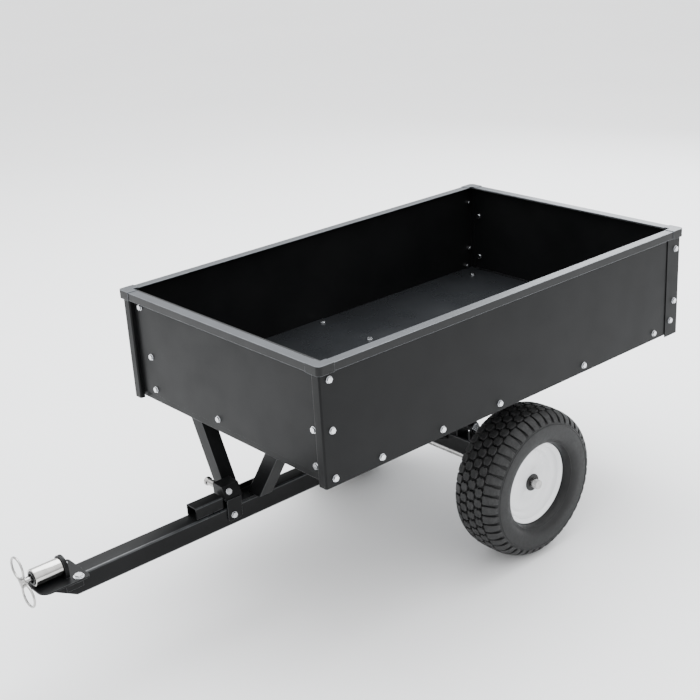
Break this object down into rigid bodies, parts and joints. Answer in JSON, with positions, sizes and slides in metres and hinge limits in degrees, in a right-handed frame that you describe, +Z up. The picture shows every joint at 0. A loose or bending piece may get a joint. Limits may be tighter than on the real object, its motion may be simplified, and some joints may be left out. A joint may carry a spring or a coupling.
{
  "type": "tow behind cart",
  "caption": "Steel box bed that tips on an axle beam, with pneumatic tyres, a square tube tongue, a spring latch and a pin hitch.",
  "frame": {"origin": "centre of the overall box, on the ground", "axes": "+X forward to the hitch, +Y to the left, +Z up"},
  "size_m": [1.877, 0.842, 0.7584],
  "materials": {
    "frame_black": "semi-gloss black powder coat",
    "floor_black": "smooth semi-gloss black",
    "rim_grey": "semi-gloss black with a bluish sheen",
    "cap_black": "satin",
    "zinc": "bright zinc plate",
    "bare_steel": "bright turned steel",
    "polished_steel": "polished",
    "black_plastic": "satin",
    "washer_black": "black oxide",
    "tyre": "matt rubber",
    "wheel_white": "gloss white enamel"
  },
  "bodies": {
    "chassis": {"tongue": "frame_black", "axle_beam": "frame_black", "axle_rod": "bare_steel", "axle_saddles": "frame_black", "tongue_gussets": "frame_black", "pivot_lugs": "frame_black", "pivot_bolts": "zinc", "latch_saddle": "frame_black", "latch_keeper": "frame_black", "tongue_bolts": "zinc", "stub_tube": "frame_black", "hitch_plate": "frame_black", "hitch_cleats": "frame_black", "hitch_barrel": "polished_steel", "hitch_bush": "black_plastic", "axle_washers": "washer_black"},
    "latch": {"latch_pin": "bare_steel", "latch_knob": "bare_steel"},
    "wheel_left": {"tyre_left": "tyre", "wheel_left": "wheel_white"},
    "wheel_right": {"tyre_right": "tyre", "wheel_right": "wheel_white"},
    "hitch_pin": {"hitch_pin": "bare_steel"},
    "upper_ring": {"upper_ring": "bare_steel"},
    "lower_ring": {"lower_ring": "bare_steel"},
    "bed": {"side_panel_left": "frame_black", "side_panel_right": "frame_black", "front_panel": "frame_black", "rear_panel": "frame_black", "floor_front": "floor_black", "floor_rear": "floor_black", "rim_front": "rim_grey", "rim_rear": "rim_grey", "rim_left": "rim_grey", "rim_right": "rim_grey", "rim_corner_front_left": "cap_black", "rim_corner_front_right": "cap_black", "rim_corner_rear_left": "cap_black", "rim_corner_rear_right": "cap_black", "rear_post_left": "frame_black", "rear_post_right": "frame_black", "corner_angles": "frame_black", "crossmember_front": "frame_black", "crossmember_middle": "frame_black", "crossmember_rear": "frame_black", "runner_left": "frame_black", "runner_right": "frame_black", "hanger_left": "frame_black", "hanger_right": "frame_black", "strut_left": "frame_black", "strut_right": "frame_black", "strut_base": "frame_black", "latch_housing": "frame_black", "latch_barrel": "bare_steel", "latch_bolt": "zinc", "latch_spring": "zinc", "side_bolts": "zinc", "front_bolts": "zinc", "floor_bolts": "zinc", "post_bolts": "zinc"}
  },
  "joints": [
    {"name": "bed_tilt", "type": "hinge", "parent": "chassis", "child": "bed", "pos_m": [-0.3335, 0, 0.2975], "axis": [0, -1, 0], "range_deg": [0, 40]},
    {"name": "latch_pull", "type": "slide", "parent": "bed", "child": "latch", "axis": [0, -1, 0], "range_m": [0, 0.0105], "stiffness_N_per_m": 600, "springref_m": -0.004, "deforming": ["latch_spring"]},
    {"name": "wheel_left_spin", "type": "hinge", "parent": "chassis", "child": "wheel_left", "pos_m": [-0.3335, 0.346, 0.203], "axis": [0, 1, 0], "continuous": true},
    {"name": "wheel_right_spin", "type": "hinge", "parent": "chassis", "child": "wheel_right", "pos_m": [-0.3335, -0.346, 0.203], "axis": [0, 1, 0], "continuous": true},
    {"name": "hitch_pin_draw", "type": "slide", "parent": "chassis", "child": "hitch_pin", "axis": [1, 0, 0], "range_m": [0, 0.05]},
    {"name": "upper_ring_swing", "type": "hinge", "parent": "hitch_pin", "child": "upper_ring", "pos_m": [0.9305, -0.00363, 0.31639], "axis": [0, 0.829, 0.5592], "range_deg": [0, 80]},
    {"name": "lower_ring_swing", "type": "hinge", "parent": "hitch_pin", "child": "lower_ring", "pos_m": [0.9305, 0.00363, 0.30561], "axis": [0, -0.829, -0.5592], "range_deg": [0, 60]}
  ]
}
